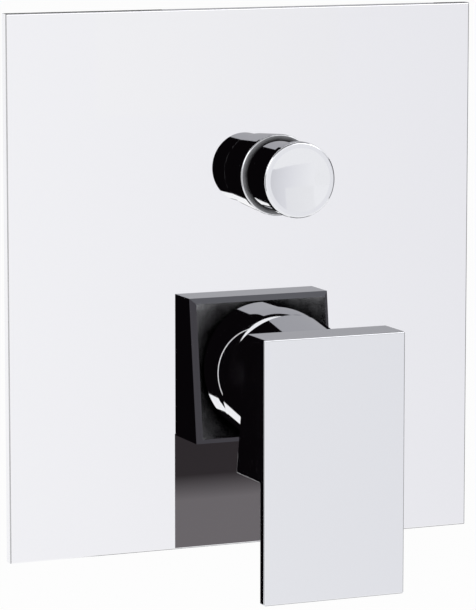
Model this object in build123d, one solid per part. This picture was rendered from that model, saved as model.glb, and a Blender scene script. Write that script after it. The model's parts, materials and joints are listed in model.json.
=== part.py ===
"""Concealed single-lever mixer with a pull diverter.

Units are millimetres. The wall plane is y = 0 and the front faces -Y, +Z is up, and +X is to the right
seen from the front. The origin is the centre of the wall plate's back edge.
"""
import os
from math import cos, radians, sin, sqrt

from build123d import *

# Clearances shared by the pieces that meet
RUNNING = 0.06
SLIP = 0.1
LOOSE = 0.3

# Wall plate
PLATE_W = 166.0
PLATE_H = 180.0
PLATE_DEPTH = 4.0
PLATE_SHEET = 1.6
PLATE_EDGE_R = 0.5
PLATE_HOLE_GAP = 0.5
GASKET_W = 5.0
FRONT_Y = -PLATE_DEPTH
SHEET_BACK_Y = FRONT_Y + PLATE_SHEET

# Axes of the two controls
MIXER_Z = -27.5
DIVERTER_Z = 37.5

# Cartridge, radii from its outside inwards
CARTRIDGE_R = 17.4
HOUSING_WALL = 2.0
NUT_LEDGE = 5.0
NECK_WALL = 1.9
DISC_MARGIN = 0.4
CARRIER_GAP = 1.2
SKIRT_R = CARTRIDGE_R - HOUSING_WALL
NECK_R = CARTRIDGE_R - NUT_LEDGE
TURRET_R = NECK_R - NECK_WALL
FIXED_DISC_R = SKIRT_R - 2 * SLIP

# Cartridge, in order from the chamber floor outwards
FLOOR_Y = -4.0
BASE_T = 4.0
FIXED_DISC_T = 4.0
MOVING_DISC_T = 3.5
CARRIER_T = 3.8
FLANGE_T = 2.5
SHOULDER_T = 2.0
NUT_T = 4.8
TOWER_LIP = 0.5
PIVOT_GAP = 0.5
NECK_PAST_PIVOT = 4.0
TURRET_PAST_PIVOT = 6.0
BASE_END_Y = FLOOR_Y - BASE_T
FIXED_DISC_END_Y = BASE_END_Y - FIXED_DISC_T
MOVING_DISC_END_Y = FIXED_DISC_END_Y - MOVING_DISC_T
CARRIER_END_Y = MOVING_DISC_END_Y - CARRIER_T
FLANGE_START_Y = CARRIER_END_Y - 2 * SLIP
FLANGE_END_Y = FLANGE_START_Y - FLANGE_T
SHOULDER_START_Y = FLANGE_END_Y - 2 * SLIP
SHOULDER_END_Y = SHOULDER_START_Y - SHOULDER_T
NUT_END_Y = SHOULDER_END_Y - NUT_T
TOWER_END_Y = NUT_END_Y - TOWER_LIP
PIVOT_Y = TOWER_END_Y - PIVOT_GAP
NECK_END_Y = PIVOT_Y - NECK_PAST_PIVOT
TURRET_END_Y = PIVOT_Y - TURRET_PAST_PIVOT

# Ports, seals, pegs and rails of the cartridge
PORT_R = 3.2
PORT_MARGIN = 2.4
INLET_PORT_ANGLE = 27.9
SEAL_LIP = 1.4
SEAL_T = 1.2
PEG_INSET = 3.3
PEG_ANGLE = 27.5
PEG_R = 1.5
PEG_L = 3.0
MIXING_POCKET_INSET = 3.2
MIXING_POCKET_Z = 2.6
MIXING_POCKET_T = 2.0
NUT_SLOT_W = 3.0
NUT_SLOT_T = 2.0
RAIL_INSET = 4.7
RAIL_W = 2.0
RAIL_T = 1.4
PORT_CIRCLE_R = FIXED_DISC_R - PORT_MARGIN - PORT_R
SEAL_R = PORT_R + SEAL_LIP
PEG_CIRCLE_R = CARTRIDGE_R - PEG_INSET

# Stem, along the lever's own axis from the pivot
REST_TILT = 10.0
STEM_BALL_R = 2.5
STEM_BALL_GAP = 0.675
STEM_ARM_R = 1.8
STEM_EYE_W = 8.0
STEM_EYE = 4.6
STEM_SQUARE = 7.0
PIN_R = 1.6
PIN_INSET = 1.5
TURRET_SLOT_Z = 12.4
STEM_ARM = (MOVING_DISC_END_Y - STEM_BALL_R - STEM_BALL_GAP - PIVOT_Y) / cos(radians(REST_TILT))
PIN_L = 2 * (TURRET_R - PIN_INSET)
DISC_SWING = STEM_ARM * sin(radians(REST_TILT))
DISC_REST_Z = MIXER_Z + DISC_SWING
CARRIER_R = SKIRT_R - DISC_SWING - CARRIER_GAP
MOVING_DISC_R = CARRIER_R - DISC_MARGIN
MIXING_POCKET_R = MOVING_DISC_R - MIXING_POCKET_INSET
RAIL_X = CARRIER_R - RAIL_INSET

# Tower of the body and the sleeve over it
TOWER_WALL = 1.8
SLEEVE_WALL = 2.0
SLEEVE_MOUTH_R = 9.8
SLEEVE_GROOVE_W = 1.2
SLEEVE_GROOVE_T = 0.8
SLEEVE_GROOVE_DEPTH = 5.0
TOWER_R = CARTRIDGE_R + SLIP + TOWER_WALL
SLEEVE_BORE_R = TOWER_R + SLIP
SLEEVE_R = SLEEVE_BORE_R + SLEEVE_WALL
SLEEVE_GROOVE_R = SLEEVE_R - SLEEVE_GROOVE_T
SLEEVE_GROOVE_Y = FRONT_Y - SLEEVE_GROOVE_DEPTH

# Lever collar
COLLAR_SIDE = 3.35
COLLAR_CAP = 2.3
COLLAR_DEPTH_TOP = 14.1
COLLAR_DEPTH_BOTTOM = 20.2
COLLAR_CHAMFER = 1.7
COLLAR_SCREW_INSET = 4.4
COLLAR_SCREW_R = 1.45
COLLAR_SCREW_HEAD_R = 2.8
COLLAR_SCREW_HEAD_T = 1.7
COLLAR_SCREW_GRIP = 8.0
COLLAR_SCREW_SOCKET_R = 1.0
COLLAR_SCREW_SOCKET_T = 1.0
COLLAR_W = 2 * (SLEEVE_R + COLLAR_SIDE)
COLLAR_H = 2 * (SLEEVE_R + COLLAR_CAP)

# Lever
LEVER_MARGIN = 2.2
LEVER_TOP = 18.5
LEVER_BLOCK_BOTTOM = -27.5
LEVER_TIP = -66.5
LEVER_CROWN = 7.3
LEVER_BLOCK_T = 18.2
LEVER_BLADE_T = 3.5
LEVER_EDGE_R = 0.5
HUB_LIP = 0.2
HUB_RIM = 8.6
STEM_GRIP = 8.7
GRUB_DEPTH = 4.7
GRUB_R = 2.4
GRUB_L = 10.0
GRUB_SOCKET_AF = 2.5
GRUB_SOCKET_T = 3.0
PLUG_GAP = 5.5
PLUG_RECESS = 0.4
CUP_R = SLEEVE_R + 2 * LOOSE
HUB_R = CUP_R + HUB_LIP
LEVER_W = 2 * (HUB_R + LEVER_MARGIN)
LEVER_BACK = CUP_R + LEVER_CROWN
LEVER_FRONT_Y = PIVOT_Y - LEVER_BACK - LEVER_BLOCK_T
STEM_END = LEVER_BACK + STEM_GRIP
GRUB_T = LEVER_BACK + GRUB_DEPTH
PLUG_TOP = STEM_SQUARE / 2 + GRUB_L + PLUG_GAP

# Diverter valve, in order from the front seat to the rear bore
FRONT_SEAT_Y = 20.0
SEAT_SPAN = 12.0
REAR_BORE_L = 12.0
DIVERTER_FLOOR = 3.0
DIVERTER_WALL = 4.0
DIVERTER_BORE_R = 9.5
REAR_BORE_R = 6.5
SEAT_GAP = 0.05
REAR_SEAT_Y = FRONT_SEAT_Y + SEAT_SPAN
REAR_BORE_END_Y = REAR_SEAT_Y + REAR_BORE_L
DIVERTER_BACK_Y = REAR_BORE_END_Y + DIVERTER_FLOOR
DIVERTER_BOSS_R = DIVERTER_BORE_R + DIVERTER_WALL

# Valve body
BODY_FRONT_Y = 1.5
CHAMBER_WALL = 4.7
CHAMBER_BACK_WALL = 1.5
PIPE_R = 9.3
PIPE_L = 15.0
PIPE_WALL = 3.2
PIPE_FLATS_L = 8.0
PIPE_FLATS_PROUD = 0.5
ARM_Y = 28.0
ARM_END_X = 48.0
PASSAGE_R = 6.0
PASSAGE_END_X = 5.5
DUCT_R = 4.5
DUCT_WALL = 3.6
UPPER_Y = 18.0
LOWER_Y = 34.0
OUTLET_END_Z = 82.0
OUTLET_ARM_L = 20.0
LUG_X = 30.0
LUG_Z = 6.0
LUG_W = 16.0
LUG_T = 7.0
LUG_PROUD = 1.0
LUG_HOLE_R = 2.75
CHAMBER_R = TOWER_R + CHAMBER_WALL
ARM_R = PIPE_R + PIPE_WALL
CHAMBER_BACK_Y = ARM_Y + ARM_R + CHAMBER_BACK_WALL
LUG_BACK_Y = CHAMBER_BACK_Y + LUG_PROUD
RISER_Y = FRONT_SEAT_Y + SEAT_SPAN / 2
DOWN_DUCT_Y = REAR_SEAT_Y + REAR_BORE_L / 2

# Diverter bonnet, spindle and piston
WASHER_T = 1.0
WASHER_LIP = 2.1
BONNET_AF = 21.0
BONNET_HEX_T = 2.0
BONNET_NECK_R = 8.4
BONNET_END_Y = -19.0
BONNET_THREAD_END_Y = 9.0
CAGE_WALL = 2.6
CAGE_WINDOW_W = 8.0
CAGE_WINDOW_START_Y = 10.0
CAGE_WINDOW_L = 7.5
SEAT_WIDTH = 0.9
CAGE_RING_BACK = 1.0
CAGE_RING_R = 0.5
CAGE_RING_GROOVE_W = 1.2
SPINDLE_R = 3.0
SPINDLE_RING_Y = 4.0
SPINDLE_RING_R = 0.75
SPINDLE_GROOVE_W = 1.8
PISTON_GAP = 1.5
PISTON_T = 2.0
PISTON_SEAL_T = 1.2
PISTON_SEAL_INSET = 0.4
CAGE_R = DIVERTER_BORE_R - CAGE_WALL
SEAT_R = CAGE_R - SEAT_WIDTH
CAGE_WINDOW_END_Y = CAGE_WINDOW_START_Y + CAGE_WINDOW_L
CAGE_RING_Y = FRONT_SEAT_Y - CAGE_RING_BACK
PISTON_R = DIVERTER_BORE_R - PISTON_GAP
PISTON_SEAL_R = PISTON_R - PISTON_SEAL_INSET
WASHER_R = DIVERTER_BORE_R + WASHER_LIP

# Diverter trim, depths from the plate's front
TRIM_COLLAR_R = 11.4
TRIM_COLLAR_L = 12.0
GUIDE_L = 17.0
GUIDE_BACK_R = 12.2
GUIDE_FRONT_R = 13.3
GUIDE_LIP = 1.6
GUIDE_FLANGE_T = 2.5
GUIDE_EDGE_R = 0.5
KNOB_NECK_R = 10.8
KNOB_BACK = 18.0
KNOB_DISC_R = 12.3
KNOB_DISC_T = 3.2
KNOB_COVE_R = 1.3
KNOB_END = 46.0
KNOB_RIM_R = 0.8
KNOB_DISH_R = 10.4
KNOB_DISH_T = 1.1
KNOB_SOCKET_END = 40.0

X, Y, Z = Vector(1, 0, 0), Vector(0, 1, 0), Vector(0, 0, 1)


def rod(radius, start, end):
    """Cylinder between two points."""
    start, end = Vector(*start), Vector(*end)
    span = end - start
    blank = Cylinder(radius, span.length, align=(Align.CENTER, Align.CENTER, Align.MIN))
    return Plane(origin=start, z_dir=span) * blank


def rod_y(radius, y0, y1, z, x=0.0):
    """Cylinder along Y."""
    return rod(radius, (x, y0, z), (x, y1, z))


def rod_z(radius, z0, z1, y):
    """Cylinder along Z on the middle plane."""
    return rod(radius, (0, y, z0), (0, y, z1))


def block(x_span, y_span, z_span):
    """Box from three (low, high) pairs."""
    spans = (x_span, y_span, z_span)
    middle = [(low + high) / 2 for low, high in spans]
    return Pos(*middle) * Box(*[abs(high - low) for low, high in spans])


def turned(outline, z):
    """Solid of revolution about the Y axis at height z, from (radius, y) points."""
    return Pos(0, 0, z) * revolve(make_face(Polyline(*outline, close=True)), Axis.Y)


def ring(major, minor, y, z):
    """O-ring lying square to Y."""
    return Plane(origin=(0, y, z), z_dir=Y) * Torus(major, minor)


def lever_axis(shape):
    """Place a shape drawn about the pivot with its axis along -Y onto the lever's rest axis."""
    return Location((0, PIVOT_Y, MIXER_Z), (REST_TILT, 0, 0)) * shape


def port_points():
    """Inlet and outlet ports of the cartridge as (x, z)."""
    x = PORT_CIRCLE_R * cos(radians(INLET_PORT_ANGLE))
    z = MIXER_Z - PORT_CIRCLE_R * sin(radians(INLET_PORT_ANGLE))
    return [(-x, z), (x, z), (0.0, MIXER_Z + PORT_CIRCLE_R)]


def peg_points():
    """Two locating pegs of the cartridge base as (x, z)."""
    x = PEG_CIRCLE_R * cos(radians(PEG_ANGLE))
    z = MIXER_Z + PEG_CIRCLE_R * sin(radians(PEG_ANGLE))
    return [(-x, z), (x, z)]


def collar_screw_points():
    """Two opposite corners of the lever collar as (x, z)."""
    x = COLLAR_W / 2 - COLLAR_SCREW_INSET
    z = COLLAR_H / 2 - COLLAR_SCREW_INSET
    return [(-x, MIXER_Z + z), (x, MIXER_Z - z)]


def wall_plate():
    pan = block((-PLATE_W / 2, PLATE_W / 2), (FRONT_Y, 0), (-PLATE_H / 2, PLATE_H / 2))
    front_edges = pan.faces().sort_by(Axis.Y)[0].edges()
    pan = fillet(front_edges, PLATE_EDGE_R)
    inner_w = PLATE_W / 2 - PLATE_SHEET
    inner_h = PLATE_H / 2 - PLATE_SHEET
    pan -= block((-inner_w, inner_w), (SHEET_BACK_Y, 0), (-inner_h, inner_h))
    pan -= rod_y(TOWER_R + PLATE_HOLE_GAP, FRONT_Y, 0, MIXER_Z)
    pan -= rod_y(BONNET_NECK_R + PLATE_HOLE_GAP, FRONT_Y, 0, DIVERTER_Z)
    for x, z in collar_screw_points():
        pan -= rod_y(COLLAR_SCREW_R + SLIP, FRONT_Y, 0, z, x)
    return pan


def plate_gasket():
    half_w = PLATE_W / 2 - PLATE_SHEET - SLIP
    half_h = PLATE_H / 2 - PLATE_SHEET - SLIP
    inner_w, inner_h = half_w - GASKET_W, half_h - GASKET_W
    depth = (SHEET_BACK_Y, 0)
    outside = block((-half_w, half_w), depth, (-half_h, half_h))
    return outside - block((-inner_w, inner_w), depth, (-inner_h, inner_h))


def lever_collar():
    top, bottom = MIXER_Z + COLLAR_H / 2, MIXER_Z - COLLAR_H / 2
    side_view = Polyline(
        (FRONT_Y, bottom),
        (FRONT_Y - COLLAR_DEPTH_BOTTOM, bottom),
        (FRONT_Y - COLLAR_DEPTH_TOP, top),
        (FRONT_Y, top),
        close=True,
    )
    wedge = extrude(make_face(Plane.YZ * side_view), COLLAR_W / 2, both=True)
    front = wedge.faces().sort_by(Axis.Y)[0]
    wedge = chamfer(front.edges(), COLLAR_CHAMFER)
    wedge -= rod_y(SLEEVE_R + SLIP, FRONT_Y, FRONT_Y - 2 * COLLAR_DEPTH_BOTTOM, MIXER_Z)
    for x, z in collar_screw_points():
        wedge -= rod_y(COLLAR_SCREW_R, FRONT_Y, FRONT_Y - COLLAR_SCREW_GRIP - 2 * LOOSE, z, x)
    return wedge


def collar_screws():
    screws = []
    head_end = SHEET_BACK_Y + COLLAR_SCREW_HEAD_T
    for x, z in collar_screw_points():
        screw = rod_y(COLLAR_SCREW_R, head_end, FRONT_Y - COLLAR_SCREW_GRIP, z, x)
        screw += rod_y(COLLAR_SCREW_HEAD_R, head_end, SHEET_BACK_Y, z, x)
        screw -= rod_y(COLLAR_SCREW_SOCKET_R, head_end, head_end - COLLAR_SCREW_SOCKET_T, z, x)
        screws.append(screw)
    return Compound(children=screws)


def cartridge_sleeve():
    pivot = Pos(0, PIVOT_Y, MIXER_Z)
    outside = rod_y(SLEEVE_R, FRONT_Y, PIVOT_Y, MIXER_Z) + pivot * Sphere(SLEEVE_R)
    inside = rod_y(SLEEVE_BORE_R, FRONT_Y, PIVOT_Y, MIXER_Z) + pivot * Sphere(SLEEVE_BORE_R)
    mouth = rod_y(SLEEVE_MOUTH_R, PIVOT_Y, PIVOT_Y - 2 * SLEEVE_R, MIXER_Z)
    groove_y = (SLEEVE_GROOVE_Y + SLEEVE_GROOVE_W / 2, SLEEVE_GROOVE_Y - SLEEVE_GROOVE_W / 2)
    groove = rod_y(2 * SLEEVE_R, *groove_y, MIXER_Z) - rod_y(SLEEVE_GROOVE_R, *groove_y, MIXER_Z)
    return outside - inside - mouth - groove


def sleeve_o_ring():
    outer = SLEEVE_R + SLIP
    section = (outer - SLEEVE_GROOVE_R) / 2
    return ring(SLEEVE_GROOVE_R + section, section, SLEEVE_GROOVE_Y, MIXER_Z)


def cartridge_nut():
    start, end = SHOULDER_END_Y, NUT_END_Y
    nut = rod_y(CARTRIDGE_R, start, end, MIXER_Z) - rod_y(NECK_R + LOOSE, start, end, MIXER_Z)
    slot_y = (end, end + NUT_SLOT_T)
    slot = (-NUT_SLOT_W / 2, NUT_SLOT_W / 2)
    nut -= block(slot, slot_y, (MIXER_Z - CARTRIDGE_R, MIXER_Z + CARTRIDGE_R))
    nut -= block((-CARTRIDGE_R, CARTRIDGE_R), slot_y, (MIXER_Z + slot[0], MIXER_Z + slot[1]))
    return nut


def cartridge_housing():
    bore = TURRET_R + RUNNING
    outline = [
        (SKIRT_R, BASE_END_Y),
        (CARTRIDGE_R, BASE_END_Y),
        (CARTRIDGE_R, SHOULDER_END_Y),
        (NECK_R, SHOULDER_END_Y),
        (NECK_R, NECK_END_Y),
        (bore, NECK_END_Y),
        (bore, SHOULDER_START_Y),
        (SKIRT_R, SHOULDER_START_Y),
    ]
    return turned(outline, MIXER_Z)


def cartridge_base():
    base = rod_y(CARTRIDGE_R, FLOOR_Y, BASE_END_Y, MIXER_Z)
    for x, z in port_points():
        base -= rod_y(PORT_R, FLOOR_Y, BASE_END_Y, z, x)
        base -= rod_y(SEAL_R, FLOOR_Y, FLOOR_Y - SEAL_T, z, x)
    for x, z in peg_points():
        base += rod_y(PEG_R, FLOOR_Y, FLOOR_Y + PEG_L, z, x)
    return base


def base_seals():
    seals = []
    for x, z in port_points():
        washer = rod_y(SEAL_R, FLOOR_Y, FLOOR_Y - SEAL_T, z, x)
        seals.append(washer - rod_y(PORT_R, FLOOR_Y, FLOOR_Y - SEAL_T, z, x))
    return Compound(children=seals)


def fixed_disc():
    disc = rod_y(FIXED_DISC_R, BASE_END_Y, FIXED_DISC_END_Y, MIXER_Z)
    for x, z in port_points():
        disc -= rod_y(PORT_R, BASE_END_Y, FIXED_DISC_END_Y, z, x)
    return disc


def moving_disc():
    disc = rod_y(MOVING_DISC_R, FIXED_DISC_END_Y, MOVING_DISC_END_Y, DISC_REST_Z)
    pocket_end = FIXED_DISC_END_Y - MIXING_POCKET_T
    return disc - rod_y(MIXING_POCKET_R, FIXED_DISC_END_Y, pocket_end, DISC_REST_Z + MIXING_POCKET_Z)


def disc_carrier():
    carrier = rod_y(CARRIER_R, MOVING_DISC_END_Y, CARRIER_END_Y, DISC_REST_Z)
    half = STEM_BALL_R + SLIP
    carrier -= block(
        (-half, half), (MOVING_DISC_END_Y, CARRIER_END_Y), (DISC_REST_Z - half, DISC_REST_Z + half)
    )
    rail_half = sqrt(CARRIER_R**2 - (RAIL_X + RAIL_W / 2) ** 2)
    for side in (-1, 1):
        x = side * RAIL_X
        carrier += block(
            (x - RAIL_W / 2, x + RAIL_W / 2),
            (CARRIER_END_Y, CARRIER_END_Y - RAIL_T),
            (DISC_REST_Z - rail_half, DISC_REST_Z + rail_half),
        )
    return carrier


def cartridge_turret():
    turret = rod_y(SKIRT_R - LOOSE, FLANGE_START_Y, FLANGE_END_Y, MIXER_Z)
    turret += rod_y(TURRET_R, FLANGE_START_Y, TURRET_END_Y, MIXER_Z)
    half_x = STEM_EYE_W / 2 + LOOSE
    half_z = TURRET_SLOT_Z / 2
    turret -= block(
        (-half_x, half_x), (FLANGE_START_Y, TURRET_END_Y), (MIXER_Z - half_z, MIXER_Z + half_z)
    )
    groove_end = FLANGE_START_Y - RAIL_T
    for side in (-1, 1):
        x = side * RAIL_X
        half = RAIL_W / 2 + SLIP
        turret -= block(
            (x - half, x + half),
            (FLANGE_START_Y, groove_end),
            (MIXER_Z - SKIRT_R, MIXER_Z + SKIRT_R),
        )
    return turret - rod(PIN_R, (-TURRET_R, PIVOT_Y, MIXER_Z), (TURRET_R, PIVOT_Y, MIXER_Z))


def stem_pivot_pin():
    return rod(PIN_R, (-PIN_L / 2, PIVOT_Y, MIXER_Z), (PIN_L / 2, PIVOT_Y, MIXER_Z))


def cartridge_stem():
    half_eye, half = STEM_EYE_W / 2, STEM_SQUARE / 2
    stem = Pos(0, STEM_ARM, 0) * Sphere(STEM_BALL_R)
    stem += rod_y(STEM_ARM_R, STEM_ARM, 0, 0)
    stem += block((-half_eye, half_eye), (STEM_EYE, -STEM_EYE), (-half, half))
    stem += block((-half, half), (0, -STEM_END), (-half, half))
    stem -= rod(PIN_R + RUNNING, (-half_eye, 0, 0), (half_eye, 0, 0))
    return lever_axis(stem)


def lever_prism():
    """Thick block and thin blade of the lever in one side view."""
    inner = LEVER_FRONT_Y + LEVER_BLADE_T
    slope = sin(radians(REST_TILT)) / cos(radians(REST_TILT))
    back_at_axis = PIVOT_Y - LEVER_BACK / cos(radians(REST_TILT))
    side_view = Polyline(
        (back_at_axis - LEVER_TOP * slope, MIXER_Z + LEVER_TOP),
        (LEVER_FRONT_Y, MIXER_Z + LEVER_TOP),
        (LEVER_FRONT_Y, MIXER_Z + LEVER_TIP),
        (inner, MIXER_Z + LEVER_TIP),
        (inner, MIXER_Z + LEVER_BLOCK_BOTTOM),
        (back_at_axis - LEVER_BLOCK_BOTTOM * slope, MIXER_Z + LEVER_BLOCK_BOTTOM),
        close=True,
    )
    return extrude(make_face(Plane.YZ * side_view), LEVER_W / 2, both=True)


def grub_hole(top, bottom, radius):
    """Cylinder square to the stem, from below its flat downwards."""
    return lever_axis(rod(radius, (0, -GRUB_T, -top), (0, -GRUB_T, -bottom)))


def lever():
    prism = lever_prism()
    prism = fillet(prism.edges(), LEVER_EDGE_R)
    hub = lever_axis(rod_y(HUB_R, -HUB_RIM, -LEVER_BACK - LEVER_EDGE_R, 0))
    casting = prism + hub - Pos(0, PIVOT_Y, MIXER_Z) * Sphere(CUP_R)
    half = STEM_SQUARE / 2 + RUNNING
    casting -= lever_axis(block((-half, half), (0, -STEM_END - LOOSE), (-half, half)))
    return casting - grub_hole(0, HUB_R + LEVER_TOP, GRUB_R + SLIP)


def lever_grub_screw():
    start = STEM_SQUARE / 2
    screw = grub_hole(start, start + GRUB_L, GRUB_R)
    hexagon = RegularPolygon(GRUB_SOCKET_AF / 2, 6, major_radius=False)
    bottom = Plane(origin=(0, -GRUB_T, -start - GRUB_L), z_dir=Z)
    return screw - lever_axis(extrude(bottom * hexagon, GRUB_SOCKET_T))


def grub_screw_plug():
    plug = grub_hole(PLUG_TOP, HUB_R + LEVER_TOP, GRUB_R)
    underside = MIXER_Z + LEVER_BLOCK_BOTTOM + PLUG_RECESS
    return split(plug, Plane(origin=(0, 0, underside), z_dir=Z), keep=Keep.TOP)


def pipe_ends():
    """Mouth centre and inward direction of the two inlets and of the upper and lower outlets."""
    return [
        (Vector(-ARM_END_X, ARM_Y, MIXER_Z), X),
        (Vector(ARM_END_X, ARM_Y, MIXER_Z), -X),
        (Vector(0, UPPER_Y, OUTLET_END_Z), -Z),
        (Vector(0, LOWER_Y, -OUTLET_END_Z), Z),
    ]


def body_outside():
    casting = rod_y(CHAMBER_R, BODY_FRONT_Y, CHAMBER_BACK_Y, MIXER_Z)
    casting += rod_y(TOWER_R, CHAMBER_BACK_Y, TOWER_END_Y, MIXER_Z)
    casting += rod(ARM_R, (-ARM_END_X, ARM_Y, MIXER_Z), (ARM_END_X, ARM_Y, MIXER_Z))
    casting += rod_z(DUCT_R + DUCT_WALL, MIXER_Z, DIVERTER_Z, RISER_Y)
    casting += rod_z(DUCT_R + DUCT_WALL, DIVERTER_Z, PIPE_L - OUTLET_END_Z, DOWN_DUCT_Y)
    casting += rod_z(ARM_R, OUTLET_ARM_L - OUTLET_END_Z, -OUTLET_END_Z, LOWER_Y)
    casting += rod_z(ARM_R, DIVERTER_Z, OUTLET_END_Z, UPPER_Y)
    casting += rod_y(DIVERTER_BOSS_R, BODY_FRONT_Y, DIVERTER_BACK_Y, DIVERTER_Z)
    for mouth, inwards in pipe_ends():
        hexagon = RegularPolygon(ARM_R + PIPE_FLATS_PROUD, 6, major_radius=False)
        casting += extrude(Plane(mouth, x_dir=inwards.cross(Y), z_dir=inwards) * hexagon, PIPE_FLATS_L)
    lug_x = LUG_X + LUG_W / 2
    lug_y = (LUG_BACK_Y - LUG_T, LUG_BACK_Y)
    casting += block((-lug_x, lug_x), lug_y, (LUG_Z - LUG_W / 2, LUG_Z + LUG_W / 2))
    return casting


def valve_body():
    casting = body_outside()
    casting -= rod_y(CARTRIDGE_R + SLIP, FLOOR_Y, TOWER_END_Y, MIXER_Z)
    for mouth, inwards in pipe_ends():
        casting -= rod(PIPE_R, mouth, mouth + inwards * PIPE_L)
    for x, z in peg_points():
        casting -= rod_y(PEG_R + SLIP, FLOOR_Y, FLOOR_Y + PEG_L + LOOSE, z, x)
    for x, z in port_points()[:2]:
        casting -= rod_y(PORT_R, FLOOR_Y, ARM_Y, z, x)
    for side in (-1, 1):
        passage = ((side * x, ARM_Y, MIXER_Z) for x in (ARM_END_X, PASSAGE_END_X))
        casting -= rod(PASSAGE_R, *passage)
        casting -= rod_y(LUG_HOLE_R, LUG_BACK_Y - LUG_T, LUG_BACK_Y, LUG_Z, side * LUG_X)
    outlet_z = MIXER_Z + PORT_CIRCLE_R
    casting -= rod_y(PORT_R, FLOOR_Y, RISER_Y, outlet_z)
    casting -= rod_z(DUCT_R, outlet_z - DUCT_R, DIVERTER_Z, RISER_Y)
    casting -= rod_y(DIVERTER_BORE_R, BODY_FRONT_Y, REAR_SEAT_Y, DIVERTER_Z)
    casting -= rod_y(REAR_BORE_R, REAR_SEAT_Y, REAR_BORE_END_Y, DIVERTER_Z)
    casting -= rod_z(DUCT_R, DIVERTER_Z, PIPE_L - OUTLET_END_Z, DOWN_DUCT_Y)
    window_y = (CAGE_WINDOW_START_Y + CAGE_WINDOW_END_Y) / 2
    return casting - rod_z(DUCT_R, DIVERTER_Z, OUTLET_END_Z - PIPE_L, window_y)


def diverter_bonnet():
    hex_back = BODY_FRONT_Y - WASHER_T
    shank = DIVERTER_BORE_R - SLIP
    bonnet = rod_y(shank, hex_back, FRONT_SEAT_Y, DIVERTER_Z)
    hexagon = Plane(origin=(0, hex_back, DIVERTER_Z), z_dir=-Y) * RegularPolygon(
        BONNET_AF / 2, 6, major_radius=False
    )
    bonnet += extrude(hexagon, BONNET_HEX_T)
    bonnet += rod_y(BONNET_NECK_R, hex_back, BONNET_END_Y, DIVERTER_Z)
    bonnet -= rod_y(SPINDLE_R + RUNNING, BONNET_END_Y, FRONT_SEAT_Y, DIVERTER_Z)
    bonnet -= rod_y(CAGE_R, BONNET_THREAD_END_Y, CAGE_WINDOW_END_Y, DIVERTER_Z)
    bonnet -= rod_y(SEAT_R, BONNET_THREAD_END_Y, FRONT_SEAT_Y, DIVERTER_Z)
    half = CAGE_WINDOW_W / 2
    window_y = (CAGE_WINDOW_START_Y, CAGE_WINDOW_END_Y)
    bonnet -= block((-half, half), window_y, (DIVERTER_Z - shank, DIVERTER_Z + shank))
    bonnet -= block((-shank, shank), window_y, (DIVERTER_Z - half, DIVERTER_Z + half))
    cage_y = (CAGE_RING_Y - CAGE_RING_GROOVE_W / 2, CAGE_RING_Y + CAGE_RING_GROOVE_W / 2)
    groove_r = DIVERTER_BORE_R - 2 * CAGE_RING_R
    bonnet -= rod_y(DIVERTER_BORE_R, *cage_y, DIVERTER_Z) - rod_y(groove_r, *cage_y, DIVERTER_Z)
    spindle_y = (SPINDLE_RING_Y - SPINDLE_GROOVE_W / 2, SPINDLE_RING_Y + SPINDLE_GROOVE_W / 2)
    groove_r = SPINDLE_R + RUNNING + 2 * SPINDLE_RING_R
    return bonnet - rod_y(groove_r, *spindle_y, DIVERTER_Z)


def bonnet_washer():
    start, end = BODY_FRONT_Y, BODY_FRONT_Y - WASHER_T
    bore = DIVERTER_BORE_R + SLIP
    return rod_y(WASHER_R, start, end, DIVERTER_Z) - rod_y(bore, start, end, DIVERTER_Z)


def cage_o_ring():
    return ring(DIVERTER_BORE_R - CAGE_RING_R, CAGE_RING_R, CAGE_RING_Y, DIVERTER_Z)


def spindle_o_ring():
    major = SPINDLE_R + RUNNING + SPINDLE_RING_R
    return ring(major, SPINDLE_RING_R, SPINDLE_RING_Y, DIVERTER_Z)


def diverter_collar():
    end = FRONT_Y - TRIM_COLLAR_L
    collar = rod_y(TRIM_COLLAR_R, FRONT_Y, end, DIVERTER_Z)
    collar = fillet(collar.edges().sort_by(Axis.Y)[0], GUIDE_EDGE_R)
    return collar - rod_y(BONNET_NECK_R + SLIP, FRONT_Y, end, DIVERTER_Z)


def diverter_guide():
    start = FRONT_Y - TRIM_COLLAR_L
    end = start - GUIDE_L
    bore = KNOB_NECK_R + LOOSE
    outline = [
        (BONNET_NECK_R + SLIP, start),
        (GUIDE_BACK_R, start),
        (GUIDE_FRONT_R, end + GUIDE_LIP),
        (GUIDE_FRONT_R, end),
        (bore, end),
        (bore, start - GUIDE_FLANGE_T),
        (BONNET_NECK_R + SLIP, start - GUIDE_FLANGE_T),
    ]
    guide = turned(outline, DIVERTER_Z)
    rims = guide.edges().filter_by(GeomType.CIRCLE).filter_by(lambda e: e.radius > TRIM_COLLAR_R)
    return fillet(rims, GUIDE_EDGE_R)


def diverter_knob():
    back, end = FRONT_Y - KNOB_BACK, FRONT_Y - KNOB_END
    knob = rod_y(KNOB_NECK_R, back, end, DIVERTER_Z)
    knob += rod_y(KNOB_DISC_R, end + KNOB_DISC_T, end, DIVERTER_Z)
    step = knob.faces().filter_by(Axis.Y).sort_by(Axis.Y)[1]
    knob = fillet(step.edges().sort_by(SortBy.RADIUS)[0], KNOB_COVE_R)
    rim = knob.faces().sort_by(Axis.Y)[0].edges()
    knob = fillet(rim, KNOB_RIM_R)
    dish_r = (KNOB_DISH_R**2 + KNOB_DISH_T**2) / (2 * KNOB_DISH_T)
    knob -= Pos(0, end + KNOB_DISH_T - dish_r, DIVERTER_Z) * Sphere(dish_r)
    return knob - rod_y(SPINDLE_R + RUNNING, back, FRONT_Y - KNOB_SOCKET_END, DIVERTER_Z)


def diverter_spindle():
    return rod_y(SPINDLE_R, piston_y()[1] + PISTON_SEAL_T, FRONT_Y - KNOB_SOCKET_END, DIVERTER_Z)


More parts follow.
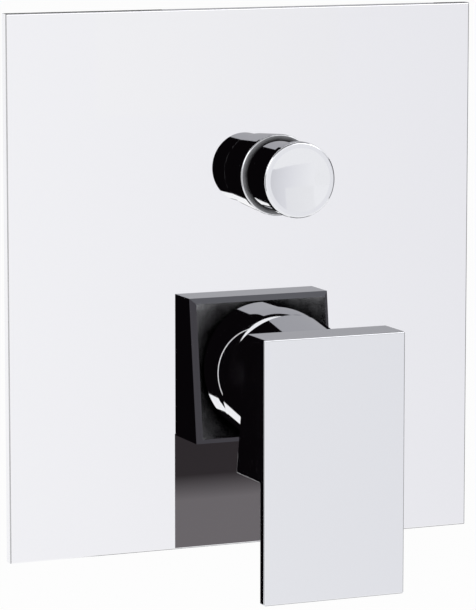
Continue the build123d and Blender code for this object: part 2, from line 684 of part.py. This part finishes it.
def piston_y():
    """Front and back of the piston when the knob is pushed in."""
    back = REAR_SEAT_Y - SEAT_GAP - PISTON_SEAL_T
    return back - PISTON_T, back


def diverter_piston():
    front, back = piston_y()
    bore = SPINDLE_R + RUNNING
    return rod_y(PISTON_R, front, back, DIVERTER_Z) - rod_y(bore, front, back, DIVERTER_Z)


def piston_seals():
    front, back = piston_y()
    seals = []
    for start, end in ((front - PISTON_SEAL_T, front), (back, back + PISTON_SEAL_T)):
        seal = rod_y(PISTON_SEAL_R, start, end, DIVERTER_Z)
        seals.append(seal - rod_y(SPINDLE_R + RUNNING, start, end, DIVERTER_Z))
    return Compound(children=seals)


PIECES = [
    valve_body,
    wall_plate,
    plate_gasket,
    lever_collar,
    collar_screws,
    cartridge_sleeve,
    sleeve_o_ring,
    cartridge_nut,
    cartridge_housing,
    cartridge_base,
    base_seals,
    fixed_disc,
    diverter_bonnet,
    bonnet_washer,
    cage_o_ring,
    spindle_o_ring,
    diverter_collar,
    diverter_guide,
    cartridge_turret,
    stem_pivot_pin,
    disc_carrier,
    moving_disc,
    lever,
    cartridge_stem,
    lever_grub_screw,
    grub_screw_plug,
    diverter_knob,
    diverter_spindle,
    diverter_piston,
    piston_seals,
]

os.makedirs("parts", exist_ok=True)
for piece in PIECES:
    export_step(piece(), f"parts/{piece.__name__}.step")
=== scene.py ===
# %% [markdown]
# # A concealed mixer tap
# The tap is a chrome wall plate with a lever and a pull knob in front of it, and a brass body behind it.
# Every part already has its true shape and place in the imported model, so this lesson loads that model,
# gives each part the finish of the real one, winds the threads of the pipe ports, and then lights and
# frames it as a product photograph.

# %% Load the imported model
import json
import math

import bmesh
import bpy
from mathutils import Matrix, Vector


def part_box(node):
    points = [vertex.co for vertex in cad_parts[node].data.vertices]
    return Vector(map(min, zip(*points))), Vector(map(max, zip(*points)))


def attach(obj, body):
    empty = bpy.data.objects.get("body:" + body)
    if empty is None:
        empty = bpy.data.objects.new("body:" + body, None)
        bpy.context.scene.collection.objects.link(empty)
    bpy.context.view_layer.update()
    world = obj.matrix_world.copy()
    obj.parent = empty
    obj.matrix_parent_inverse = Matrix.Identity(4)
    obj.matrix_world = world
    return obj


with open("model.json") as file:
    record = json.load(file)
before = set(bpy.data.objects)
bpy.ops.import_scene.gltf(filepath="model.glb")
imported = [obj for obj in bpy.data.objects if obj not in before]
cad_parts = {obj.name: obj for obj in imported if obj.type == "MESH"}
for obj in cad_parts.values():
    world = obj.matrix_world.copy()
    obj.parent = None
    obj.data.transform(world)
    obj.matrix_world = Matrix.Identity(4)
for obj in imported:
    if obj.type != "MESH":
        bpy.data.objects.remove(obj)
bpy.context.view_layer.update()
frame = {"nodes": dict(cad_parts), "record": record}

MM = 0.001

nodes = frame["nodes"]

# %% [markdown]
# ## Small tools
# Colours are written as sRGB hex values, the way a designer reads them off a swatch, but shaders work in
# linear light, so one function converts them. Another adds a shader node, sets its inputs and links what
# feeds it, which keeps each material short enough to read as a recipe.

# %% Colour and node helpers
def linear(hex_colour):
    """Turn an sRGB hex colour into linear red, green, blue and alpha."""
    channels = [int(hex_colour[i:i + 2], 16) / 255 for i in (1, 3, 5)]
    return [c / 12.92 if c <= 0.04045 else ((c + 0.055) / 1.055) ** 2.4 for c in channels] + [1.0]


def add_node(tree, kind, settings=None, inputs=None):
    """Add a shader node; an input given as (node, output) is linked, any other is a value."""
    node = tree.nodes.new(kind)
    for name, value in (settings or {}).items():
        setattr(node, name, value)
    for name, value in (inputs or {}).items():
        if isinstance(value, tuple) and isinstance(value[0], bpy.types.Node):
            tree.links.new(value[0].outputs[value[1]], node.inputs[name])
        else:
            node.inputs[name].default_value = value
    return node


def new_material(name):
    """A material with an empty node tree and its output."""
    material = bpy.data.materials.new(name)
    material.use_nodes = True
    tree = material.node_tree
    tree.nodes.clear()
    output = add_node(tree, "ShaderNodeOutputMaterial")
    return material, tree, output


def per_metre(size_mm):
    """Pattern scale for a texture whose features are about this many millimetres across."""
    return 1 / (size_mm * MM)


print("mid grey in linear light is", round(linear("#808080")[0], 3))

# %% [markdown]
# ## Painted shade on ledges
# A narrow ledge that faces forward beside a taller piece, such as the ring round the knob's neck, mirrors
# that piece and looks dark. The studio further down hides the parts from each other's mirrors, so that dark
# reflection is painted into the chrome's colour as painted shade. Ambient occlusion tells how much of the
# room a point sees, and the surface's direction tells whether it faces forward.

# %% Colour of open faces, and painted shade on ledges
# Colour of the painted shade on ledges
PAINTED_SHADE_TINT = "#0C0B0C"
LEDGE_REACH_MM = 12
LEDGE_SAMPLES = 16
SHUT_IN = 0.62
IN_THE_OPEN = 0.95
FACES_FRONT = -0.95
FACES_ASIDE = -0.75


def painted_ledge_shade(tree, facing, tint):
    """The metal's tint, with painted shade, nearly black, where a forward face has another piece within
    reach.
    """
    around = add_node(
        tree, "ShaderNodeAmbientOcclusion", {"samples": LEDGE_SAMPLES}, {"Distance": LEDGE_REACH_MM * MM})
    openness = add_node(tree, "ShaderNodeMapRange", inputs={
        "Value": (around, "AO"), "From Min": SHUT_IN, "From Max": IN_THE_OPEN})
    aside = add_node(tree, "ShaderNodeMapRange", inputs={
        "Value": (facing, "Y"), "From Min": FACES_FRONT, "From Max": FACES_ASIDE})
    bright = add_node(tree, "ShaderNodeMath", {"operation": "MAXIMUM"}, {
        0: (openness, "Result"), 1: (aside, "Result")})
    colour = add_node(tree, "ShaderNodeMix", {"data_type": "RGBA"}, {
        "Factor": (bright, "Value"), "A": linear(PAINTED_SHADE_TINT), "B": linear(tint)})
    return colour, "Result"


print("ledges are looked for within", LEDGE_REACH_MM, "mm")

# %% [markdown]
# ## Chrome
# The lever, collar, sleeve and knob are die-cast or turned, buffed and then plated with nickel and chromium.
# Buffing leaves a mirror with a very faint waviness, some millimetres long, and a trace of haze. The wall
# plate is pressed from flatter sheet, and its back is plated without polish. A metallic shader gives the
# mirror, one noise varies its roughness, another bends it slightly, and the surface's own direction finds
# the unpolished back.

# %% Polished chrome
HAZE_PATCH_MM = 9
HAZE_DETAIL = 4.0
HAZE_CONTRAST = 0.6
HAZE_LOW = 0.3
HAZE_HIGH = 0.7
WAVE_DETAIL = 1.0
BACK_BEGINS = 0.4
BACK_FULLY = 0.6


def polished_chrome(name, tint, roughness, haze, wave_mm, wave_height_mm, back_roughness, has_painted_shade):
    """A plated mirror with faint haze and waves, its own roughness where it faces the wall, and painted
    shade on ledges if asked.
    """
    material, tree, output = new_material(name)
    place = add_node(tree, "ShaderNodeTexCoord")
    facing = add_node(tree, "ShaderNodeSeparateXYZ", inputs={"Vector": (place, "Normal")})
    haze_noise = add_node(tree, "ShaderNodeTexNoise", inputs={
        "Vector": (place, "Object"), "Scale": per_metre(HAZE_PATCH_MM),
        "Detail": HAZE_DETAIL, "Roughness": HAZE_CONTRAST})
    gloss = add_node(tree, "ShaderNodeMapRange", inputs={
        "Value": (haze_noise, "Fac"), "From Min": HAZE_LOW, "From Max": HAZE_HIGH,
        "To Min": roughness - haze, "To Max": roughness + haze})
    polish = add_node(tree, "ShaderNodeMapRange", inputs={
        "Value": (facing, "Y"), "From Min": BACK_BEGINS, "From Max": BACK_FULLY,
        "To Min": (gloss, "Result"), "To Max": back_roughness})
    wave = add_node(tree, "ShaderNodeTexNoise", inputs={
        "Vector": (place, "Object"), "Scale": per_metre(wave_mm), "Detail": WAVE_DETAIL})
    bump = add_node(tree, "ShaderNodeBump", inputs={
        "Height": (wave, "Fac"), "Distance": wave_height_mm * MM, "Strength": 1.0})
    shader = add_node(tree, "ShaderNodeBsdfPrincipled", inputs={
        # Painted shade: where asked for, the base colour turns nearly black on forward ledges near other
        # pieces
        "Base Color": painted_ledge_shade(tree, facing, tint) if has_painted_shade else linear(tint),
        "Metallic": 1.0, "Roughness": (polish, "Result"), "Normal": (bump, "Normal")})
    tree.links.new(shader.outputs["BSDF"], output.inputs["Surface"])
    return material


# The trim's chrome carries painted shade on its ledges; the plate's sheet has none
chrome = polished_chrome(
    "polished_chrome", tint="#E9EAEE", roughness=0.05, haze=0.015,
    wave_mm=14, wave_height_mm=0.004, back_roughness=0.08, has_painted_shade=True)
plate_chrome = polished_chrome(
    "chrome_plated_sheet", tint="#F4F4F7", roughness=0.04, haze=0.01,
    wave_mm=60, wave_height_mm=0.001, back_roughness=0.42, has_painted_shade=False)
print("made", chrome.name, "and", plate_chrome.name)

# %% [markdown]
# ## The hidden metals
# The body is sand-cast brass, so its skin is matt and grainy, with edges that the mould has rounded. The
# nut, bonnet, stem and spindle are turned from brass bar, and the screws and the pivot pin from stainless
# steel, so their grain is finer and their edges are crisp. Real tool marks are too fine to show in the
# picture, so they are drawn as a grain of some tenths of a millimetre.

# %% Brass and steel
STAIN_MM = 22
STAIN_DETAIL = 3.0
GRAIN_DETAIL = 6.0
GRAIN_CONTRAST = 0.65
GRAIN_STRENGTH = 0.6
GLOSS_SPREAD = 0.08
EDGE_SAMPLES = 6


def grained_metal(name, tint, dark_tint, roughness, grain_mm, grain_height_mm, edge_mm):
    """A metal with a grainy skin, slight stains and edges that catch the light."""
    material, tree, output = new_material(name)
    place = add_node(tree, "ShaderNodeTexCoord")
    grain = add_node(tree, "ShaderNodeTexNoise", inputs={
        "Vector": (place, "Object"), "Scale": per_metre(grain_mm),
        "Detail": GRAIN_DETAIL, "Roughness": GRAIN_CONTRAST})
    stain = add_node(tree, "ShaderNodeTexNoise", inputs={
        "Vector": (place, "Object"), "Scale": per_metre(STAIN_MM), "Detail": STAIN_DETAIL})
    colour = add_node(tree, "ShaderNodeMix", {"data_type": "RGBA"}, {
        "Factor": (stain, "Fac"), "A": linear(dark_tint), "B": linear(tint)})
    gloss = add_node(tree, "ShaderNodeMapRange", inputs={
        "Value": (stain, "Fac"), "To Min": roughness - GLOSS_SPREAD, "To Max": roughness + GLOSS_SPREAD})
    soft_edge = add_node(tree, "ShaderNodeBevel", {"samples": EDGE_SAMPLES}, {"Radius": edge_mm * MM})
    bump = add_node(tree, "ShaderNodeBump", inputs={
        "Height": (grain, "Fac"), "Distance": grain_height_mm * MM, "Strength": GRAIN_STRENGTH,
        "Normal": (soft_edge, "Normal")})
    shader = add_node(tree, "ShaderNodeBsdfPrincipled", inputs={
        "Base Color": (colour, "Result"), "Metallic": 1.0,
        "Roughness": (gloss, "Result"), "Normal": (bump, "Normal")})
    tree.links.new(shader.outputs["BSDF"], output.inputs["Surface"])
    return material


cast_brass = grained_metal(
    "sand_cast_brass", tint="#CDA868", dark_tint="#A98348", roughness=0.42,
    grain_mm=0.9, grain_height_mm=0.16, edge_mm=1.0)
turned_brass = grained_metal(
    "turned_brass", tint="#D8B46C", dark_tint="#C49C54", roughness=0.25,
    grain_mm=0.4, grain_height_mm=0.02, edge_mm=0.2)
stainless = grained_metal(
    "stainless_steel", tint="#C4C5C8", dark_tint="#A9AAAE", roughness=0.3,
    grain_mm=0.4, grain_height_mm=0.02, edge_mm=0.1)
print("made", cast_brass.name, turned_brass.name, stainless.name)

# %% [markdown]
# ## Seals, plastics and ceramic
# None of these are metals: nitrile rubber is black and dull, acetal is a milky white moulding, pressed fibre
# is reddish, and the sealing discs are lapped alumina with a fine gloss. One recipe serves them all, with a
# grain that tints the colour a little and roughens the surface. The real grain is too fine to show, so it is
# drawn about a millimetre wide.

# %% Rubber, plastic and ceramic
MOULD_DETAIL = 5.0
MOULD_STRENGTH = 0.5


def moulded(name, tint, dark_tint, roughness, ior, grain_mm, grain_height_mm):
    """A moulded or pressed material with a fine grain in its colour and surface."""
    material, tree, output = new_material(name)
    place = add_node(tree, "ShaderNodeTexCoord")
    grain = add_node(tree, "ShaderNodeTexNoise", inputs={
        "Vector": (place, "Object"), "Scale": per_metre(grain_mm), "Detail": MOULD_DETAIL})
    colour = add_node(tree, "ShaderNodeMix", {"data_type": "RGBA"}, {
        "Factor": (grain, "Fac"), "A": linear(dark_tint), "B": linear(tint)})
    bump = add_node(tree, "ShaderNodeBump", inputs={
        "Height": (grain, "Fac"), "Distance": grain_height_mm * MM, "Strength": MOULD_STRENGTH})
    shader = add_node(tree, "ShaderNodeBsdfPrincipled", inputs={
        "Base Color": (colour, "Result"), "Roughness": roughness, "IOR": ior, "Normal": (bump, "Normal")})
    tree.links.new(shader.outputs["BSDF"], output.inputs["Surface"])
    return material


rubber = moulded(
    "nitrile_rubber", tint="#232323", dark_tint="#171717", roughness=0.6, ior=1.52,
    grain_mm=0.8, grain_height_mm=0.03)
acetal = moulded(
    "moulded_acetal", tint="#E4E3DC", dark_tint="#D8D6CC", roughness=0.4, ior=1.48,
    grain_mm=1.2, grain_height_mm=0.02)
fibre = moulded(
    "pressed_fibre", tint="#9A3A2A", dark_tint="#7C2C20", roughness=0.7, ior=1.5,
    grain_mm=0.5, grain_height_mm=0.05)
plug_plastic = moulded(
    "grey_plug_plastic", tint="#A9AAAD", dark_tint="#A0A1A4", roughness=0.3, ior=1.49,
    grain_mm=1.0, grain_height_mm=0.01)
alumina = moulded(
    "lapped_alumina", tint="#F1F0EA", dark_tint="#EAE8E0", roughness=0.15, ior=1.76,
    grain_mm=0.6, grain_height_mm=0.005)
print("made", [material.name for material in (rubber, acetal, fibre, plug_plastic, alumina)])

# %% [markdown]
# ## Give each part its finish
# A loaded part keeps its mesh and only gets a better material, so a table from finish to parts is enough.

# %% Assign the finishes
finishes = {
    plate_chrome: ["wall_plate"],
    chrome: [
        "lever_collar", "cartridge_sleeve", "lever",
        "diverter_collar", "diverter_guide", "diverter_knob"],
    cast_brass: ["valve_body"],
    turned_brass: [
        "cartridge_nut", "diverter_bonnet", "cartridge_stem",
        "diverter_spindle", "diverter_piston"],
    stainless: ["collar_screws", "stem_pivot_pin", "lever_grub_screw"],
    rubber: [
        "plate_gasket", "sleeve_o_ring", "base_seals",
        "cage_o_ring", "spindle_o_ring", "piston_seals"],
    acetal: ["cartridge_housing", "cartridge_base", "cartridge_turret", "disc_carrier"],
    fibre: ["bonnet_washer"],
    plug_plastic: ["grub_screw_plug"],
    alumina: ["fixed_disc", "moving_disc"],
}
for material, names in finishes.items():
    for name in names:
        mesh = nodes[name].data
        mesh.materials.clear()
        mesh.materials.append(material)
print("finished", sum(len(names) for names in finishes.values()), "parts")

# %% [markdown]
# ## Pipe threads
# Each port of the body is tapped for a half-inch pipe, which has fourteen turns to the inch. A thread could
# be faked with a wavy bump, but it shows as steps at the mouth of the port, so it is modelled. One triangle
# is spun about the port's axis and moved on a little at each step, which draws a helix.

# %% The ports, and the way from a bmesh to an object
def scene_object(name, data):
    """Put a mesh, camera or lamp into the scene."""
    thing = bpy.data.objects.new(name, data)
    bpy.context.scene.collection.objects.link(thing)
    return thing


def mesh_object(name, mesh, material):
    """Turn a finished bmesh into an object with one material."""
    data = bpy.data.meshes.new(name)
    mesh.to_mesh(data)
    mesh.free()
    data.materials.append(material)
    return scene_object(name, data)


ports = [mount for mount in frame["record"]["mounts"] if mount["kind"] == "threaded_hole"]
print("tapped ports:", [mount["name"] for mount in ports])

# %% Threads in the four ports
INCH_MM = 25.4
TURNS_PER_INCH = 14
PITCH_MM = INCH_MM / TURNS_PER_INCH
HALF_FLANK_MM = 0.4 * PITCH_MM
RIDGE_MM = 0.55
SUNK_MM = 0.06
STEPS_PER_TURN = 40
LEAD_IN_MM = 1.2


def pipe_thread(mount):
    """A helical ridge on the wall of a tapped port, from just inside its mouth."""
    bore_mm, length_mm = mount["dims"]["r_mm"], mount["dims"]["length_mm"]
    turns = int((length_mm - 2 * LEAD_IN_MM) / PITCH_MM)
    start_mm = length_mm / 2 - LEAD_IN_MM - turns * PITCH_MM
    root_mm, crest_mm = bore_mm + SUNK_MM, bore_mm - RIDGE_MM
    profile = ((root_mm, -HALF_FLANK_MM), (crest_mm, 0), (root_mm, HALF_FLANK_MM))
    mesh = bmesh.new()
    corners = [mesh.verts.new(Vector((radius, 0, start_mm + rise)) * MM) for radius, rise in profile]
    edges = [mesh.edges.new((corners[i], corners[i - 1])) for i in range(3)]
    bmesh.ops.spin(
        mesh, geom=corners + edges, axis=(0, 0, 1), cent=(0, 0, 0), angle=math.tau * turns,
        steps=STEPS_PER_TURN * turns, dvec=(0, 0, PITCH_MM * MM / STEPS_PER_TURN))
    bmesh.ops.holes_fill(mesh, edges=[edge for edge in mesh.edges if edge.is_boundary], sides=3)
    bmesh.ops.recalc_face_normals(mesh, faces=mesh.faces)
    turn = Vector(mount["axis"]).to_track_quat("Z", "Y").to_matrix().to_4x4()
    bmesh.ops.transform(mesh, matrix=Matrix.Translation(mount["pos_m"]) @ turn, verts=mesh.verts)
    ridge = mesh_object(mount["name"] + "_thread", mesh, turned_brass)
    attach(ridge, "fixed")
    print(ridge.name, "has", turns, "turns and", len(ridge.data.polygons), "faces")
    return ridge


ridges = [pipe_thread(mount) for mount in ports]

# %% [markdown]
# ## Camera
# The photograph was taken from the left and slightly above with a long lens. The angles, distance and aim
# below were worked out from the four corners of the wall plate.

# %% Camera
CAMERA_AZIMUTH = -23.0
CAMERA_ELEVATION = 8.16
CAMERA_DISTANCE_MM = 1196
CAMERA_LENS_MM = 211.0
CAMERA_SENSOR_MM = 36.0
AIM_MM = (-0.44, 0.0, -9.37)


def look_along(thing, direction):
    """Turn a camera or lamp to look along a direction, with its top upwards."""
    thing.rotation_mode = "QUATERNION"
    thing.rotation_quaternion = direction.to_track_quat("-Z", "Y")


azimuth, elevation = math.radians(CAMERA_AZIMUTH), math.radians(CAMERA_ELEVATION)
towards_camera = Vector((
    math.sin(azimuth) * math.cos(elevation), -math.cos(azimuth) * math.cos(elevation), math.sin(elevation)))
camera = scene_object("camera", bpy.data.cameras.new("camera"))
camera.data.lens = CAMERA_LENS_MM
camera.data.sensor_width = CAMERA_SENSOR_MM
camera.location = Vector(AIM_MM) * MM + towards_camera * CAMERA_DISTANCE_MM * MM
look_along(camera, -towards_camera)
bpy.context.scene.camera = camera
print("camera at", [round(v, 3) for v in camera.location])

# %% [markdown]
# ## Studio boards
# A mirror shows its surroundings, so the studio decides how chrome looks. In the photograph the plate is a
# clean white while the pieces on it stand in a dark room, as when two exposures are joined, and the pieces
# hardly show in each other. So mirror rays skip the parts here. The plate and the lever's front see white
# boards, the collar's slanted front sees a black card, the sides of the lever, collar and knob see black
# drapes behind them, and their tops see a grey sheet. Each board shows from its front alone and only in
# reflections, as real ones are kept out of the frame.

# %% One board
board_material, tree, output = new_material("studio_board")
shade = add_node(tree, "ShaderNodeAttribute", {"attribute_name": "shade"})
side = add_node(tree, "ShaderNodeNewGeometry")
glow = add_node(tree, "ShaderNodeEmission", inputs={"Color": (shade, "Color")})
clear = add_node(tree, "ShaderNodeBsdfTransparent")
one_sided = add_node(tree, "ShaderNodeMixShader", inputs={
    "Fac": (side, "Backfacing"), 1: (glow, "Emission"), 2: (clear, "BSDF")})
tree.links.new(one_sided.outputs["Shader"], output.inputs["Surface"])


def board(name, colours, spread_mm, depth_mm, rise_mm, facing, upwards=False):
    """A flat board shaded from its first colour to its second, across or upwards."""
    corners = [Vector(corner) * MM for corner in zip(spread_mm, depth_mm, rise_mm)]
    mesh = bmesh.new()
    bmesh.ops.create_grid(mesh, x_segments=1, y_segments=1, size=0.5)
    layer = mesh.verts.layers.float_color.new("shade")
    for vert in mesh.verts:
        second = vert.co.y > 0 if upwards else vert.co.x > 0
        vert[layer] = linear(colours[second])
    turn = Vector(facing).to_track_quat("Z", "Y").to_matrix()
    across, along, _ = turn.inverted() @ (corners[1] - corners[0])
    bmesh.ops.scale(mesh, vec=(abs(across), abs(along), 1), verts=mesh.verts)
    place = Matrix.Translation((corners[0] + corners[1]) / 2) @ turn.to_4x4()
    bmesh.ops.transform(mesh, matrix=place, verts=mesh.verts)
    flat = mesh_object(name, mesh, board_material)
    flat.visible_camera = False
    flat.visible_shadow = False
    flat.visible_diffuse = False
    print(name, "reaches from", round(spread_mm[0]), "to", round(spread_mm[1]), "mm")
    return flat


print("made", board_material.name)

# %% Boards that the chrome reflects
TO_WALL = (0, 1, 0)
TO_CAMERA = (0, -1, 0)
TO_RIGHT = (1, 0, 0)
TO_LEFT = (-1, 0, 0)
DOWN = (0, 0, -1)
UP = (0, 0, 1)
BLACK = ("#080608", "#080608")
DARK = ("#48464A", "#48464A")
DIM = ("#646468", "#646468")
GREY = ("#A8A8AC", "#A8A8AC")
WHITE_CARD = ("#FFFFFF", "#FFFFFF")

# Each line gives a board's two colours, its reach across, in depth and in height in mm, and its front.
board("front_board", ("#EDEDF0", "#FFFFFF"), (400, 1300), (-2000, -2000), (-600, 1800), TO_WALL)
board("side_board", ("#9C9CA0", "#EDEDF0"), (1300, 4500), (-2000, -2000), (-600, 1800), TO_WALL)
board("collar_card", BLACK, (560, 740), (-1500, -1500), (12, 155), TO_WALL)
board("dish_card", ("#F4F4F5", "#FAFAFA"), (60, 170), (-300, -300), (27, 105), TO_WALL)
board("back_drape", BLACK, (-114, 150), (100, 100), (-75, 220), TO_CAMERA)
board("low_drape", BLACK, (-114, -45), (100, 100), (-140, -75), TO_CAMERA)
board("sill_drape", BLACK, (-14, 150), (100, 100), (-140, -75), TO_CAMERA)
board("far_drape", BLACK, (-320, -123), (100, 100), (-140, 220), TO_CAMERA)
board("grey_sheet", GREY, (12, 120), (99, 99), (8, 150), TO_CAMERA)
board("low_glint", WHITE_CARD, (0, 40), (99, 99), (-28, 0), TO_CAMERA)
board("left_board", DARK, (-600, -600), (-420, -120), (-260, 140), TO_RIGHT)
board("right_board", DARK, (600, 600), (-300, 380), (-240, 200), TO_LEFT)
board("top_board", DIM, (-900, 900), (-730, 270), (1080, 1080), DOWN)
board("foot_board", DARK, (60, 340), (-100, 160), (-400, -400), UP)

# %% Hide the parts from mirrors
for piece in list(nodes.values()) + ridges:
    piece.visible_glossy = False
print("mirror rays skip", len(nodes) + len(ridges), "pieces")

# %% [markdown]
# ## The lever's image in the plate
# Under the collar the plate mirrors the dark back of the lever, and a paler stretch of it further down. The
# lever itself is hidden from mirrors, so three cards stand close to the plate in its place, from the collar
# down to the plate's edge. They ride on the lever, and the image follows when the lever swings.

# %% Cards for the lever's image
IMAGE_TOP = "#302C2E"
IMAGE_FOOT = "#6E6A6C"
IMAGE_INSET_MM = 0.6
IMAGE_WIDTH_MM = 31.5
IMAGE_GAP_MM = 2
FADE_MM = (-74, -65.5)

collar_corner, plate_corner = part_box("lever_collar")[0] / MM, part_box("wall_plate")[0] / MM
image_left = collar_corner.x + IMAGE_INSET_MM
image_spread = (image_left, image_left + IMAGE_WIDTH_MM)
image_depth = (plate_corner.y - IMAGE_GAP_MM, plate_corner.y - IMAGE_GAP_MM)
for name, colours, rise_mm in (
    ("image_top", (IMAGE_TOP, IMAGE_TOP), (FADE_MM[1], collar_corner.z)),
    ("image_fade", (IMAGE_FOOT, IMAGE_TOP), FADE_MM),
    ("image_foot", (IMAGE_FOOT, IMAGE_FOOT), (plate_corner.z, FADE_MM[0])),
):
    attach(board(name, colours, image_spread, image_depth, rise_mm, TO_WALL, upwards=True), "lever")

# %% [markdown]
# ## Room, floor and lamps
# The world is white where the camera, a mirror or glass looks at it, and softer as a light. The pale floor
# is mostly white to the same rays, and the rest of it is plain paint, so it still takes a shadow. Three
# large lamps add soft light from both sides and from behind, which the brass and the plastics need.

# %% World
WHITE = linear("#FFFFFF")
SOFT_LIGHT = 0.6


def seen_rays(tree):
    """One for rays of the camera, of reflections and of glass, and zero for soft light."""
    rays = add_node(tree, "ShaderNodeLightPath")
    mirror = add_node(tree, "ShaderNodeMath", {"operation": "MAXIMUM"}, {
        0: (rays, "Is Camera Ray"), 1: (rays, "Is Glossy Ray")})
    return add_node(tree, "ShaderNodeMath", {"operation": "MAXIMUM"}, {
        0: (mirror, "Value"), 1: (rays, "Is Transmission Ray")})


world = bpy.data.worlds.new("white_room")
bpy.context.scene.world = world
world.use_nodes = True
tree = world.node_tree
tree.nodes.clear()
soft_light = add_node(tree, "ShaderNodeBackground", inputs={"Color": WHITE, "Strength": SOFT_LIGHT})
white_room = add_node(tree, "ShaderNodeBackground", inputs={"Color": WHITE, "Strength": 1.0})
either = add_node(tree, "ShaderNodeMixShader", inputs={
    "Fac": (seen_rays(tree), "Value"), 1: (soft_light, "Background"), 2: (white_room, "Background")})
add_node(tree, "ShaderNodeOutputWorld", inputs={"Surface": (either, "Shader")})
print("world", world.name, "is ready")

# %% Floor
FLOOR_DROP_MM = 600
ROOM_MM = 40000
FLOOR_WHITE = 0.95
FLOOR_PAINT = "#F4F4F4"

floor_material, tree, output = new_material("pale_floor")
share = add_node(tree, "ShaderNodeMath", {"operation": "MULTIPLY"}, {
    0: (seen_rays(tree), "Value"), 1: FLOOR_WHITE})
paint = add_node(tree, "ShaderNodeBsdfDiffuse", inputs={"Color": linear(FLOOR_PAINT)})
glow = add_node(tree, "ShaderNodeEmission", inputs={"Color": WHITE, "Strength": 1.0})
either = add_node(tree, "ShaderNodeMixShader", inputs={
    "Fac": (share, "Value"), 1: (paint, "BSDF"), 2: (glow, "Emission")})
tree.links.new(either.outputs["Shader"], output.inputs["Surface"])
floor_mesh = bmesh.new()
bmesh.ops.create_grid(floor_mesh, x_segments=1, y_segments=1, size=ROOM_MM * MM / 2)
bmesh.ops.translate(floor_mesh, vec=(0, 0, -FLOOR_DROP_MM * MM), verts=floor_mesh.verts)
floor = mesh_object("floor", floor_mesh, floor_material)
print("floor lies", FLOOR_DROP_MM, "mm below the plate's middle")

# %% Lamps and view
LAMP_SIZE_MM = 1500

for name, spot_mm, power in (
    ("right_lamp", (1300, -1500, 1500), 10.0),
    ("left_lamp", (-1500, -900, 1300), 6.0),
    ("back_lamp", (200, 1600, 1100), 8.0),
):
    lamp = scene_object(name, bpy.data.lights.new(name, "AREA"))
    lamp.data.size = LAMP_SIZE_MM * MM
    lamp.data.energy = power
    lamp.location = Vector(spot_mm) * MM
    look_along(lamp, -lamp.location)
    print(name, "has", power, "watts")
bpy.context.scene.view_settings.view_transform = "Standard"
